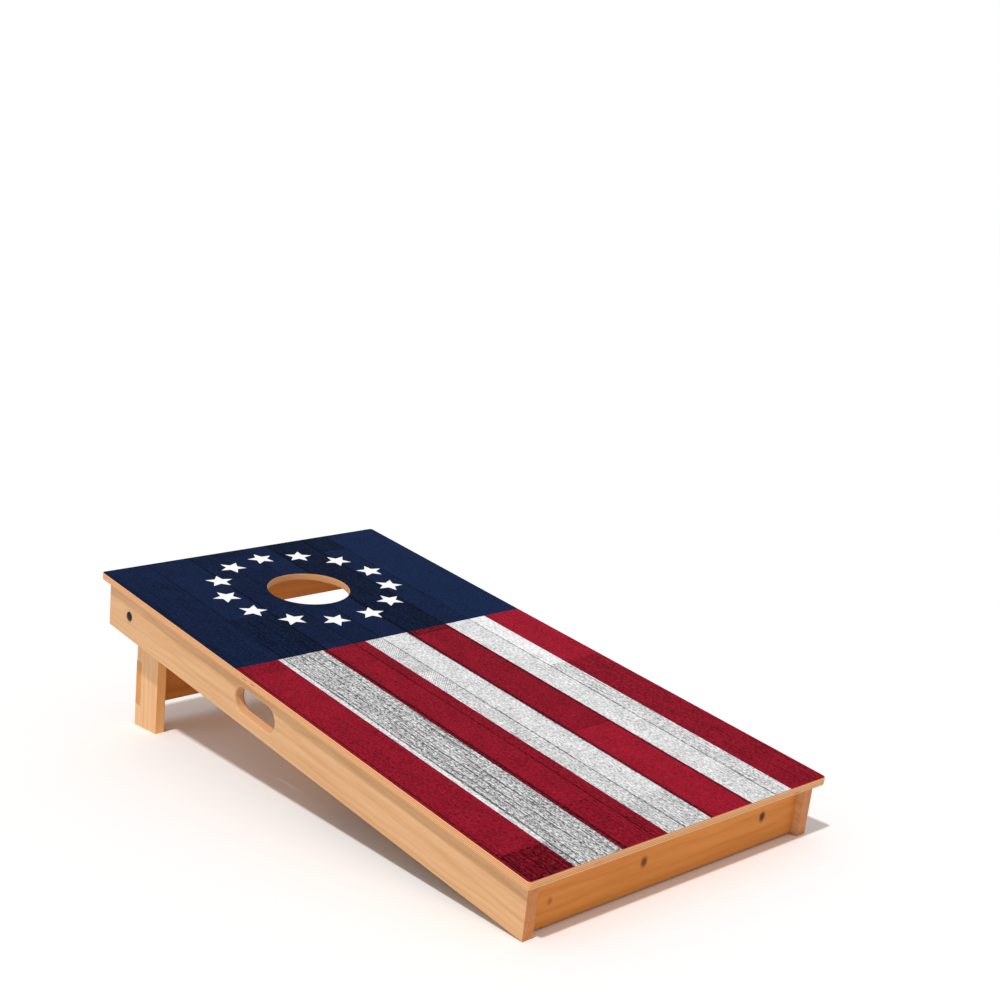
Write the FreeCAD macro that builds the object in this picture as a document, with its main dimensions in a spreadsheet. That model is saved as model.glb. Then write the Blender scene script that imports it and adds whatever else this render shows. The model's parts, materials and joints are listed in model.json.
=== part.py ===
"""Cornhole board with folding back legs.

Frame: +Z up, +Y towards the raised end, +X to the thrower's right, millimetres.
The origin is on the ground, under the middle of the board's footprint.

The board is laid out flat in its own deck coordinates: X across from the centreline,
Y along the deck from its low front edge, Z up from the deck's top face. DeckFrame tilts
that layout up until the board stands on its rails' front corners and its two feet.
"""
import FreeCAD, Part
import Sketcher
import os

LEFT, RIGHT = -1, 1
SIDES = {"left": LEFT, "right": RIGHT}

START, END, CENTRE = 1, 2, 3     # which point of a sketch line or arc a constraint holds
ORIGIN = (-1, 1)                 # the sketch's own origin point
ACROSS, UPRIGHT = -1, -2         # the sketch's horizontal and vertical axes

SIZES = [
    ("deck_length", 1219.2, "plywood deck along the throw, 48 in"),
    ("deck_width", 609.6, "plywood deck across, 24 in"),
    ("deck_thickness", 12.7, "1/2 in plywood"),
    ("deck_corner", 6.0, "corner radius in plan"),
    ("deck_tilt", 9.767, "degrees, which lifts the deck's back edge to 12 in"),
    ("hole_diameter", 152.4, "target hole, 6 in"),
    ("hole_setback", 228.6, "hole centre from the raised edge, 9 in"),
    ("wrap_thickness", 0.25, "printed film on the deck"),
    ("wrap_margin", 0.8, "film trimmed back from the deck's edges"),
    ("overhang", 12.7, "deck past the rails on every side"),
    ("board_thickness", 19.05, "1x4 lumber"),
    ("board_width", 88.9, "1x4 lumber"),
    ("board_easing", 1.5, "radius along the lumber's long edges"),
    ("front_inset", 12.7, "front apron back from the rails' ends"),
    ("back_inset", 17.15, "back apron in from the rails' ends, where it stops the legs"),
    ("grip_length", 121.0, "hand slot in a rail"),
    ("grip_height", 44.5, "hand slot in a rail"),
    ("grip_setback", 520.2, "hand slot's centre from the deck's raised edge"),
    ("grip_easing", 3.0, "radius round the hand slot's rims"),
    ("pivot_setback", 76.2, "leg pivot from the rails' back ends, 3 in"),
    ("block_length", 140.0, "pivot block along the rail"),
    ("leg_width", 79.4, "leg across its broad face"),
    ("crossbar_drop", 110.0, "pivot to the crossbar's upper edge"),
    ("running_gap", 0.3, "between pieces that turn past each other"),
    ("pin_gap", 0.08, "leg bore round the bolt, on the radius"),
    ("thread_gap", 0.05, "wing nut round the bolt, on the radius"),
    ("bolt_diameter", 7.94, "5/16 in carriage bolt"),
    ("bolt_length", 76.2, "under the head, 3 in"),
    ("bolt_head_diameter", 17.5, "round carriage head"),
    ("bolt_head_height", 4.2, "round carriage head"),
    ("bolt_head_rim", 0.3, "straight edge under the head's dome"),
    ("bolt_tip_round", 1.0, "eased end of the shank"),
    ("bolt_neck_width", 8.0, "square neck"),
    ("bolt_neck_depth", 4.5, "square neck"),
    ("frame_bore", 8.3, "bolt hole through rail and pivot block"),
    ("washer_diameter", 19.0, "flat washer"),
    ("washer_thickness", 1.6, "flat washer"),
    ("washer_bore", 8.0, "flat washer"),
    ("nut_hub_diameter", 14.0, "wing nut's hub"),
    ("nut_hub_height", 9.0, "wing nut's hub"),
    ("nut_wing_reach", 16.0, "wing nut's wing tip from its axis"),
    ("nut_wing_height", 13.5, "wing nut's wing tip above its seat"),
    ("nut_wing_thickness", 2.6, "wing nut's wings"),
    ("nut_thumb_round", 2.0, "rounded outer corners of the wings"),
    ("screw_diameter", 4.2, "wood screw shank, no. 8"),
    ("screw_head_diameter", 8.4, "countersunk head"),
    ("screw_head_height", 3.2, "countersunk head"),
    ("screw_length", 31.75, "1 1/4 in"),
    ("screw_tip", 6.0, "pointed end of a screw"),
    ("screw_point", 0.3, "radius that is left at a screw's point"),
    ("pan_diameter", 9.0, "pocket screw's washer head"),
    ("pan_height", 2.5, "pocket screw's washer head"),
    ("pocket_diameter", 9.5, "stepped drill's wide part"),
    ("pocket_reach", 45.0, "wide bore behind the head, out past the board's face"),
    ("pocket_angle", 15.0, "degrees between a pocket screw and its board"),
    ("pocket_seat", 17.0, "pocket screw's head from the joint it closes"),
    ("screw_end", 63.5, "first deck screw from a rail's end"),
    ("screw_inset", 20.0, "other screws from a board's edges"),
    ("drive_width", 2.6, "square socket in a screw's head"),
    ("drive_depth", 1.8, "square socket in a screw's head"),
]

doc = FreeCAD.newDocument("cornhole_board")
sizes = doc.addObject("Spreadsheet::Sheet", "Sizes")
for row, (alias, value, note) in enumerate(SIZES, start=1):
    sizes.set(f"A{row}", alias)
    sizes.set(f"B{row}", str(value))
    sizes.set(f"C{row}", note)
    sizes.setAlias(f"B{row}", alias)
doc.recompute()

# Places in deck coordinates, as formulas of the sheet.
RAIL_INNER = "(Sizes.deck_width / 2 - Sizes.overhang - Sizes.board_thickness)"
RAIL_LENGTH = "(Sizes.deck_length - 2 * Sizes.overhang)"
FRAME_DEPTH = "(Sizes.deck_thickness + Sizes.board_width)"
BLOCK_INNER = f"({RAIL_INNER} - Sizes.board_thickness)"
LEG_OUTER = f"({BLOCK_INNER} - Sizes.washer_thickness - Sizes.running_gap)"
LEG_INNER = f"({LEG_OUTER} - Sizes.board_thickness)"
NUT_WASHER_SEAT = f"({LEG_INNER} - Sizes.running_gap)"
NUT_SEAT = f"({NUT_WASHER_SEAT} - Sizes.washer_thickness - Sizes.running_gap)"
PIVOT_Y = "(Sizes.deck_length - Sizes.overhang - Sizes.pivot_setback)"
PIVOT_Z = "(-Sizes.deck_thickness - Sizes.board_width / 2)"
FRONT_APRON_Y = "(Sizes.overhang + Sizes.front_inset)"
BACK_APRON_Y = "(Sizes.deck_length - Sizes.overhang - Sizes.back_inset - Sizes.board_thickness)"
BRACE_Y = "(Sizes.deck_length / 2 - Sizes.board_thickness / 2)"

# The deck turns up about the rails' front bottom corners, which stay on the ground, and the
# footprint, from the deck's front edge to the rails' back ends, is centred on the origin.
tilt_cos, tilt_sin = "cos(Sizes.deck_tilt)", "sin(Sizes.deck_tilt)"
CORNER_Y = (f"({tilt_sin} * {FRAME_DEPTH} / 2 + Sizes.overhang * {tilt_cos} / 2"
            f" - {RAIL_LENGTH} * {tilt_cos} / 2)")
deck_frame = doc.addObject("App::Placement", "DeckFrame")
deck_frame.setExpression(
    "Placement",
    "placement(vector(0;"
    f" {CORNER_Y} - Sizes.overhang * {tilt_cos} - {FRAME_DEPTH} * {tilt_sin};"
    f" {FRAME_DEPTH} * {tilt_cos} - Sizes.overhang * {tilt_sin});"
    " rotation(vector(1; 0; 0); Sizes.deck_tilt))")
doc.recompute()

UNTURNED = "rotation(vector(0; 0; 1); 0)"


def place(piece, x, y, z, turn=UNTURNED):
    """Puts a piece at a point of the deck's layout, given as formulas."""
    piece.setExpression(
        "Placement", f"DeckFrame.Placement * placement(vector({x}; {y}; {z}); {turn})")


# ---------------------------------------------------------------- sketches and features

def add_body(name):
    return doc.addObject("PartDesign::Body", name)


def add_sketch(body, plane, name):
    sketch = body.newObject("Sketcher::SketchObject", name)
    role = next(item for item in body.Origin.OriginFeatures if item.Role == plane)
    sketch.AttachmentSupport = [(role, "")]
    sketch.MapMode = "FlatFace"
    return sketch


def bind(sketch, kind, *terms, formula):
    """Adds a dimension to a sketch and ties it to a formula of the sheet."""
    row = sketch.addConstraint(Sketcher.Constraint(kind, *terms, sketch.evalExpression(formula)))
    sketch.setExpression(f"Constraints[{row}]", formula)


def pin(sketch, edge, end, x, y):
    """Fixes a point of a sketch at two formulas; a plain 0 puts it on the axis."""
    for kind, axis, formula in (("DistanceX", UPRIGHT, x), ("DistanceY", ACROSS, y)):
        if formula == "0":
            sketch.addConstraint(Sketcher.Constraint("PointOnObject", edge, end, axis))
        else:
            bind(sketch, kind, *ORIGIN, edge, end, formula=formula)


def point(sketch, x, y):
    return FreeCAD.Vector(sketch.evalExpression(x), sketch.evalExpression(y), 0)


def draw_outline(sketch, corners):
    """A closed outline of straight lines through corners given as formulas."""
    places = [point(sketch, *corner) for corner in corners]
    lines = [sketch.addGeometry(Part.LineSegment(places[step - 1], places[step]))
             for step in range(len(places))]
    for step, line in enumerate(lines):
        sketch.addConstraint(Sketcher.Constraint("Coincident", lines[step - 1], END, line, START))
        pin(sketch, line, END, *corners[step])


def draw_rectangle(sketch, low_x, high_x, low_y, high_y):
    draw_outline(sketch, [(low_x, low_y), (high_x, low_y), (high_x, high_y), (low_x, high_y)])


def draw_circle(sketch, x, y, diameter):
    radius = sketch.evalExpression(diameter) / 2
    circle = sketch.addGeometry(Part.Circle(point(sketch, x, y), FreeCAD.Vector(0, 0, 1), radius))
    pin(sketch, circle, CENTRE, x, y)
    bind(sketch, "Diameter", circle, formula=diameter)


def draw_slot(sketch, x, y, length, height):
    """A slot with half-round ends, lying along the sketch's X."""
    reach = f"(({length}) - ({height})) / 2"
    radius = FreeCAD.Vector(0, sketch.evalExpression(f"({height}) / 2"), 0)
    near, far = point(sketch, f"{x} - {reach}", y), point(sketch, f"{x} + {reach}", y)
    upper = sketch.addGeometry(Part.LineSegment(near + radius, far + radius))
    lower = sketch.addGeometry(Part.LineSegment(far - radius, near - radius))
    side = FreeCAD.Vector(radius.y, 0, 0)
    far_end = sketch.addGeometry(Part.Arc(far - radius, far + side, far + radius))
    near_end = sketch.addGeometry(Part.Arc(near + radius, near - side, near - radius))
    for first, first_end, second, second_end in (
            (upper, END, far_end, END), (lower, START, far_end, START),
            (lower, END, near_end, END), (upper, START, near_end, START)):
        sketch.addConstraint(
            Sketcher.Constraint("Tangent", first, first_end, second, second_end))
    sketch.addConstraint(Sketcher.Constraint("Equal", far_end, near_end))
    bind(sketch, "Radius", far_end, formula=f"({height}) / 2")
    pin(sketch, far_end, CENTRE, f"{x} + {reach}", y)
    pin(sketch, near_end, CENTRE, f"{x} - {reach}", y)


def add_pad(body, sketch, name, length, reverse=False, centred=False):
    pad = body.newObject("PartDesign::Pad", name)
    pad.Profile = sketch
    pad.Reversed = reverse
    pad.Midplane = centred
    pad.setExpression("Length", length)
    doc.recompute()
    return pad


# An edge that lies beyond FAR_OUT of a width from the middle is an outer one, and one within
# NEARBY of an opening's size from its centre belongs to that opening.
FAR_OUT = 0.4
NEARBY = 0.6


def add_fillet(body, base, name, radius, chosen):
    """Rounds the edges of a feature that the test `chosen` accepts."""
    edges = [f"Edge{number}" for number, edge in enumerate(base.Shape.Edges, start=1)
             if chosen(edge)]
    if not edges:
        raise RuntimeError(f"{name} found no edges to round")
    fillet = body.newObject("PartDesign::Fillet", name)
    fillet.Base = (base, edges)
    fillet.setExpression("Radius", radius)
    doc.recompute()
    return fillet


def runs_along(edge, axis):
    """True where an edge is straight and parallel to an axis, over most of a board."""
    box = edge.BoundBox
    spans = {"X": box.XLength, "Y": box.YLength, "Z": box.ZLength}
    longest = spans.pop(axis)
    return longest > sizes.board_width * 0.5 and max(spans.values()) < 0.01


def cut_away(name, blank, tools):
    """The finished piece: its blank less the screws, bolts and bores that enter it."""
    tool = tools[0]
    if len(tools) > 1:
        tool = doc.addObject("Part::Compound", f"{name}_cutters")
        tool.Links = tools
    piece = doc.addObject("Part::Cut", name)
    piece.Base = blank
    piece.Tool = tool
    doc.recompute()
    if not piece.Shape.Volume < blank.Shape.Volume:
        raise RuntimeError(f"{name}: the cutters miss the blank")
    return piece


# ---------------------------------------------------------------- fasteners

def make_primitive(kind, name, height_place, **dimensions):
    """A Part primitive on the Z axis, with its sizes and height tied to formulas."""
    solid = doc.addObject(kind, name)
    for dimension, formula in dimensions.items():
        solid.setExpression(dimension, formula)
    solid.setExpression("Placement.Base.z", height_place)
    return solid


def make_shank(name):
    """A screw's straight shank and point, down the Z axis from the underside of its head."""
    straight = make_primitive(
        "Part::Cylinder", f"{name}_straight", "Sizes.screw_tip - Sizes.screw_length",
        Radius="Sizes.screw_diameter / 2", Height="Sizes.screw_length - Sizes.screw_tip")
    tip = make_primitive(
        "Part::Cone", f"{name}_tip", "-Sizes.screw_length", Radius1="Sizes.screw_point",
        Radius2="Sizes.screw_diameter / 2", Height="Sizes.screw_tip")
    return [straight, tip]


def fuse(name, shapes):
    whole = doc.addObject("Part::MultiFuse", name)
    whole.Shapes = shapes
    whole.Refine = True
    return whole


def with_drive(name, solid, head_top):
    """A screw with the square socket of its driver sunk in the head."""
    socket = doc.addObject("Part::Box", f"{name}_socket")
    for dimension in ("Length", "Width"):
        socket.setExpression(dimension, "Sizes.drive_width")
    socket.setExpression("Height", "Sizes.drive_depth")
    socket.setExpression(
        "Placement", "placement(vector(-Sizes.drive_width / 2; -Sizes.drive_width / 2;"
        f" {head_top} - Sizes.drive_depth); {UNTURNED})")
    screw = doc.addObject("Part::Cut", name)
    screw.Base = solid
    screw.Tool = socket
    return screw


countersink = make_primitive(
    "Part::Cone", "countersink", "-Sizes.screw_head_height", Radius1="Sizes.screw_diameter / 2",
    Radius2="Sizes.screw_head_diameter / 2", Height="Sizes.screw_head_height")
wood_screw_bore = fuse("wood_screw_bore", [*make_shank("wood_screw"), countersink])
wood_screw = with_drive("wood_screw", wood_screw_bore, "0")

pan_head = make_primitive(
    "Part::Cylinder", "pan_head", "0", Radius="Sizes.pan_diameter / 2", Height="Sizes.pan_height")
pocket = make_primitive(
    "Part::Cylinder", "pocket", "0",
    Radius="Sizes.pocket_diameter / 2", Height="Sizes.pocket_reach")
pocket_shank = make_shank("pocket_screw")
pocket_bore = fuse("pocket_bore", [*pocket_shank, pocket])
pocket_screw = with_drive("pocket_screw", fuse("pocket_blank", [*pocket_shank, pan_head]),
                          "Sizes.pan_height")
doc.recompute()


def make_group(name, master, places):
    """Copies of one fastener at a list of places, as one piece of separate solids."""
    copies = []
    for number, (x, y, z, turn) in enumerate(places, start=1):
        copy = doc.addObject("App::Link", f"{name}_{number}")
        copy.LinkedObject = master
        place(copy, x, y, z, turn)
        copies.append(copy)
    group = doc.addObject("Part::Compound", name)
    group.Links = copies
    return group


def make_screws(name, places):
    return make_group(f"{name}_screws", wood_screw, places), make_group(
        f"{name}_bores", wood_screw_bore, places)


def turn_out(side):
    """Points a screw from the inside of the frame out towards one side."""
    return f"rotation(vector(0; 1; 0); {-90 * side})"


def pocket_places(board_y, outward, heights):
    """Pocket screws at both ends of a cross board, angled towards its far face."""
    found = []
    for side in SIDES.values():
        turn = (f"rotation(vector(0; 0; 1); {side * outward} * Sizes.pocket_angle)"
                f" * {turn_out(side)}")
        seat_x = f"{side} * ({RAIL_INNER} - Sizes.pocket_seat * cos(Sizes.pocket_angle))"
        seat_y = (f"{board_y} + Sizes.board_thickness / 2"
                  f" - {outward} * Sizes.pocket_seat * sin(Sizes.pocket_angle)")
        found += [(seat_x, seat_y, height, turn) for height in heights]
    return found


def share(low, high, count):
    """Evenly spaced formulas from one formula to another."""
    return [f"(({low}) + (({high}) - ({low})) * {step} / {count - 1})" for step in range(count)]



SCREWS_ALONG_RAIL = 4
TOWARDS_FRONT, TOWARDS_BACK = -1, 1
RAIL_MIDDLE = f"({RAIL_INNER} + Sizes.board_thickness / 2)"
screw_heights = share("-Sizes.deck_thickness - Sizes.screw_inset",
                      f"-{FRAME_DEPTH} + Sizes.screw_inset", 2)

deck_screws, deck_bores = make_screws("deck", [
    (f"{side} * {RAIL_MIDDLE}", y, "0", UNTURNED)
    for side in SIDES.values()
    for y in share("Sizes.overhang + Sizes.screw_end",
                   "Sizes.deck_length - Sizes.overhang - Sizes.screw_end", SCREWS_ALONG_RAIL)
] + [
    (f"{side} * {RAIL_INNER} / 2", f"{board_y} + Sizes.board_thickness / 2", "0", UNTURNED)
    for board_y in (FRONT_APRON_Y, BRACE_Y, BACK_APRON_Y)
    for side in SIDES.values()
])

apron_places = (pocket_places(FRONT_APRON_Y, TOWARDS_FRONT, screw_heights)
                + pocket_places(BACK_APRON_Y, TOWARDS_BACK, screw_heights))
apron_screws = make_group("apron_screws", pocket_screw, apron_places)
apron_bores = make_group("apron_bores", pocket_bore, apron_places)

brace_places = pocket_places(BRACE_Y, TOWARDS_FRONT, screw_heights)
brace_screws = make_group("brace_screws", pocket_screw, brace_places)
brace_bores = make_group("brace_bores", pocket_bore, brace_places)

block_screws, block_bores = make_screws("block", [
    (f"{side} * {BLOCK_INNER}", y, z, turn_out(side))
    for side in SIDES.values()
    for y in share(f"{BACK_APRON_Y} - Sizes.block_length + Sizes.screw_inset",
                   f"{BACK_APRON_Y} - Sizes.screw_inset", 2)
    for z in screw_heights
])

CROSSBAR_TOP = f"({PIVOT_Z} - Sizes.crossbar_drop)"
LEG_BACK = f"({PIVOT_Y} + Sizes.leg_width / 2)"
crossbar_screws, crossbar_bores = make_screws("crossbar", [
    (f"{side} * ({LEG_INNER} + {LEG_OUTER}) / 2", LEG_BACK, z, "rotation(vector(1; 0; 0); -90)")
    for side in SIDES.values()
    for z in share(f"{CROSSBAR_TOP} - Sizes.screw_inset",
                   f"{CROSSBAR_TOP} - Sizes.board_width + Sizes.screw_inset", 2)
])


def point_in(side):
    """Turns a piece's +Z axis from one side in towards the centreline."""
    return f"rotation(vector(0; 1; 0); {-90 * side})"


def is_rim(edge, height):
    """True for a round edge that lies flat at a height."""
    box = edge.BoundBox
    return box.ZLength < 0.01 and abs(box.ZMin - height) < 0.01 and len(edge.Vertexes) == 1


def make_bolt(name, side):
    """A carriage bolt: domed head outside the rail, square neck, shank in towards the middle."""
    body = add_body(name)
    head = add_sketch(body, "XY_Plane", f"{name}_head_round")
    draw_circle(head, "0", "0", "Sizes.bolt_head_diameter")
    add_pad(body, head, f"{name}_head", "Sizes.bolt_head_height", reverse=True)
    neck = add_sketch(body, "XY_Plane", f"{name}_neck_square")
    half = "Sizes.bolt_neck_width / 2"
    draw_rectangle(neck, f"-{half}", half, f"-{half}", half)
    add_pad(body, neck, f"{name}_neck", "Sizes.bolt_neck_depth")
    shank = add_sketch(body, "XY_Plane", f"{name}_shank_round")
    draw_circle(shank, "0", "0", "Sizes.bolt_diameter")
    whole = add_pad(body, shank, f"{name}_shank", "Sizes.bolt_length")
    dome = add_fillet(body, whole, f"{name}_dome", "Sizes.bolt_head_height - Sizes.bolt_head_rim",
                      lambda edge: is_rim(edge, -sizes.bolt_head_height))
    add_fillet(body, dome, f"{name}_tip", "Sizes.bolt_tip_round",
               lambda edge: is_rim(edge, sizes.bolt_length))
    place(body, f"{side} * ({RAIL_INNER} + Sizes.board_thickness)", PIVOT_Y, PIVOT_Z,
          point_in(side))
    return body


def make_washer(name, side, seat):
    """A flat washer on the pivot bolt, lying inwards from its seat."""
    body = add_body(name)
    ring = add_sketch(body, "XY_Plane", f"{name}_ring")
    draw_circle(ring, "0", "0", "Sizes.washer_diameter")
    draw_circle(ring, "0", "0", "Sizes.washer_bore")
    add_pad(body, ring, f"{name}_plate", "Sizes.washer_thickness")
    place(body, f"{side} * {seat}", PIVOT_Y, PIVOT_Z, point_in(side))
    return body


# A wing's outline from its foot at the hub, round its tip and back, as shares of reach and height.
WING_OUTLINE = [(0.315, 0.07), (0.54, 0.13), (1, 0.6), (1, 1), (0.7, 1), (0.315, 0.53)]


def make_wing_nut(name, side):
    """A wing nut: a round hub with two thumb wings that lean outwards."""
    body = add_body(name)
    wings = add_sketch(body, "XZ_Plane", f"{name}_wing_shape")
    for hand in SIDES.values():
        draw_outline(wings, [
            (f"{hand * out} * Sizes.nut_wing_reach", f"{up} * Sizes.nut_wing_height")
            for out, up in WING_OUTLINE])
    blades = add_pad(body, wings, f"{name}_wings", "Sizes.nut_wing_thickness", centred=True)
    add_fillet(body, blades, f"{name}_thumbs", "Sizes.nut_thumb_round",
               lambda edge: edge.BoundBox.YLength > sizes.nut_wing_thickness / 2
               and edge.BoundBox.ZMin > sizes.nut_wing_height / 2)
    hub = add_sketch(body, "XY_Plane", f"{name}_hub_round")
    draw_circle(hub, "0", "0", "Sizes.nut_hub_diameter")
    add_pad(body, hub, f"{name}_hub", "Sizes.nut_hub_height")
    bore = add_sketch(body, "XY_Plane", f"{name}_bore_round")
    draw_circle(bore, "0", "0", "Sizes.bolt_diameter + 2 * Sizes.thread_gap")
    blank = body.Tip.Shape.Volume
    drilled = body.newObject("PartDesign::Pocket", f"{name}_bore")
    drilled.Profile = bore
    drilled.Type = "ThroughAll"
    drilled.Reversed = True
    doc.recompute()
    if not drilled.Shape.Volume < blank:
        raise RuntimeError(f"{name}: the bore cuts nothing")
    place(body, f"{side} * {NUT_SEAT}", PIVOT_Y, PIVOT_Z, point_in(side))
    return body


# ---------------------------------------------------------------- deck and film

def make_sheet(name, margin, thickness, hole_diameter, below):
    """A sheet the size of the deck less a margin, with the target hole in it."""
    body = add_body(name)
    plan = add_sketch(body, "XY_Plane", f"{name}_plan")
    draw_rectangle(plan, f"{margin} - Sizes.deck_width / 2", f"Sizes.deck_width / 2 - {margin}",
                   margin, f"Sizes.deck_length - {margin}")
    draw_circle(plan, "0", "Sizes.deck_length - Sizes.hole_setback", hole_diameter)
    slab = add_pad(body, plan, f"{name}_slab", thickness, reverse=below)
    add_fillet(body, slab, f"{name}_corners", f"Sizes.deck_corner - {margin}",
               lambda edge: edge.BoundBox.ZLength > 0.1
               and abs(edge.BoundBox.Center.x) > sizes.deck_width * FAR_OUT)
    place(body, "0", "0", "0")
    return body


deck_blank = make_sheet("deck_blank", "0", "Sizes.deck_thickness", "Sizes.hole_diameter", True)
deck_wrap = make_sheet("deck_wrap", "Sizes.wrap_margin", "Sizes.wrap_thickness",
                       "Sizes.hole_diameter + 2 * Sizes.wrap_margin", False)

# ---------------------------------------------------------------- boards of the frame

HALF_BOARD = "Sizes.board_width / 2"
BORE = "Sizes.frame_bore"


def make_rail(name, side):
    """A side rail, drawn about the pivot bolt on its inner face and thickened outwards."""
    body = add_body(name)
    profile = add_sketch(body, "YZ_Plane", f"{name}_profile")
    draw_rectangle(profile, f"Sizes.pivot_setback - {RAIL_LENGTH}", "Sizes.pivot_setback",
                   f"-{HALF_BOARD}", HALF_BOARD)
    draw_circle(profile, "0", "0", BORE)
    grip_y = "(Sizes.overhang + Sizes.pivot_setback - Sizes.grip_setback)"
    draw_slot(profile, grip_y, "0", "Sizes.grip_length", "Sizes.grip_height")
    plank = add_pad(body, profile, f"{name}_plank", "Sizes.board_thickness", reverse=side < 0)
    eased = add_fillet(body, plank, f"{name}_edges", "Sizes.board_easing",
                       lambda edge: runs_along(edge, "Y")
                       and abs(edge.BoundBox.Center.z) > sizes.board_width * FAR_OUT)
    middle = eased.evalExpression(grip_y)
    add_fillet(body, eased, f"{name}_grip_rims", "Sizes.grip_easing",
               lambda edge: edge.BoundBox.XLength < 0.01
               and abs(edge.BoundBox.Center.y - middle) < sizes.grip_length * NEARBY
               and abs(edge.BoundBox.Center.z) < sizes.grip_height * NEARBY)
    place(body, f"{side} * {RAIL_INNER}", PIVOT_Y, PIVOT_Z)
    return body


def make_block(name, side):
    """A pivot block that packs the leg in from the rail, bored for the pivot bolt."""
    body = add_body(name)
    profile = add_sketch(body, "YZ_Plane", f"{name}_profile")
    back = f"({BACK_APRON_Y} - {PIVOT_Y})"
    draw_rectangle(profile, f"{back} - Sizes.block_length", back, f"-{HALF_BOARD}", HALF_BOARD)
    draw_circle(profile, "0", "0", BORE)
    plank = add_pad(body, profile, f"{name}_plank", "Sizes.board_thickness", reverse=side < 0)
    add_fillet(body, plank, f"{name}_edges", "Sizes.board_easing",
               lambda edge: runs_along(edge, "Y"))
    place(body, f"{side} * {BLOCK_INNER}", PIVOT_Y, PIVOT_Z)
    return body


def make_cross_board(name, half_length):
    """A board across the frame, hung down from its upper edge."""
    body = add_body(name)
    plan = add_sketch(body, "XY_Plane", f"{name}_plan")
    draw_rectangle(plan, f"-{half_length}", half_length, "0", "Sizes.board_thickness")
    plank = add_pad(body, plan, f"{name}_plank", "Sizes.board_width", reverse=True)
    add_fillet(body, plank, f"{name}_edges", "Sizes.board_easing",
               lambda edge: runs_along(edge, "X"))
    return body


def make_frame_board(name, y):
    body = make_cross_board(name, RAIL_INNER)
    place(body, "0", y, "-Sizes.deck_thickness")
    return body


def make_leg(name, side):
    """A leg, drawn about its pivot: round top, notched back edge, foot cut level with the ground."""
    body = add_body(name)
    profile = add_sketch(body, "YZ_Plane", f"{name}_profile")
    half = "Sizes.leg_width / 2"
    notch_top = "-Sizes.crossbar_drop"
    notch_foot = f"({notch_top} - Sizes.board_width)"
    notch_depth = f"({half} - Sizes.board_thickness)"
    ground = (f"(-Sizes.board_width / 2 - ({PIVOT_Y} - Sizes.overhang + ({{reach}}))"
              " * tan(Sizes.deck_tilt))")
    corners = [(half, "0"), (half, notch_top), (notch_depth, notch_top),
               (notch_depth, notch_foot), (half, notch_foot),
               (half, ground.format(reach=half)), (f"-{half}", ground.format(reach=f"-{half}")),
               (f"-{half}", "0")]
    places = [point(profile, *corner) for corner in corners]
    lines = [profile.addGeometry(Part.LineSegment(places[step], places[step + 1]))
             for step in range(len(places) - 1)]
    for step, line in enumerate(lines):
        pin(profile, line, START, *corners[step])
        if step:
            profile.addConstraint(
                Sketcher.Constraint("Coincident", lines[step - 1], END, line, START))
    crown = FreeCAD.Vector(0, places[0].x, 0)
    top = profile.addGeometry(Part.Arc(places[0], crown, places[-1]))
    profile.addConstraint(Sketcher.Constraint("Coincident", top, CENTRE, *ORIGIN))
    profile.addConstraint(Sketcher.Constraint("Coincident", top, START, lines[0], START))
    profile.addConstraint(Sketcher.Constraint("Coincident", top, END, lines[-1], END))
    profile.addConstraint(Sketcher.Constraint("PointOnObject", lines[-1], END, ACROSS))
    draw_circle(profile, "0", "0", "Sizes.bolt_diameter + 2 * Sizes.pin_gap")
    plank = add_pad(body, profile, f"{name}_plank", "Sizes.board_thickness", reverse=side < 0)
    add_fillet(body, plank, f"{name}_edges", "Sizes.board_easing",
               lambda edge: runs_along(edge, "Z") and edge.BoundBox.Center.y < 0)
    place(body, f"{side} * {LEG_INNER}", PIVOT_Y, PIVOT_Z)
    return body


crossbar_blank = make_cross_board("crossbar_blank", LEG_OUTER)
place(crossbar_blank, "0", f"{LEG_BACK} - Sizes.board_thickness", CROSSBAR_TOP)

pieces = {
    "deck_panel": cut_away("deck_panel", deck_blank, [deck_bores]),
    "deck_wrap": deck_wrap,
    "front_apron": cut_away("front_apron", make_frame_board("front_blank", FRONT_APRON_Y),
                            [deck_bores, apron_bores]),
    "back_apron": cut_away("back_apron", make_frame_board("back_blank", BACK_APRON_Y),
                           [deck_bores, apron_bores]),
    "center_brace": cut_away("center_brace", make_frame_board("brace_blank", BRACE_Y),
                             [deck_bores, brace_bores]),
    "leg_crossbar": cut_away("leg_crossbar", crossbar_blank, [crossbar_bores]),
    "deck_screws": deck_screws,
    "apron_screws": apron_screws,
    "brace_screws": brace_screws,
    "block_screws": block_screws,
    "crossbar_screws": crossbar_screws,
}
for word, side in SIDES.items():
    bolt = make_bolt(f"{word}_pivot_bolt", side)
    rail_tools = [deck_bores, apron_bores, brace_bores, block_bores, bolt]
    pieces[f"{word}_pivot_bolt"] = bolt
    pieces[f"{word}_side_rail"] = cut_away(
        f"{word}_side_rail", make_rail(f"{word}_rail_blank", side), rail_tools)
    pieces[f"{word}_pivot_block"] = cut_away(
        f"{word}_pivot_block", make_block(f"{word}_block_blank", side), [block_bores])
    pieces[f"{word}_leg"] = cut_away(
        f"{word}_leg", make_leg(f"{word}_leg_blank", side), [crossbar_bores])
    pieces[f"{word}_block_washer"] = make_washer(f"{word}_block_washer", side, BLOCK_INNER)
    pieces[f"{word}_nut_washer"] = make_washer(f"{word}_nut_washer", side, NUT_WASHER_SEAT)
    pieces[f"{word}_wing_nut"] = make_wing_nut(f"{word}_wing_nut", side)
doc.recompute()

# ---------------------------------------------------------------- checks and files

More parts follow.
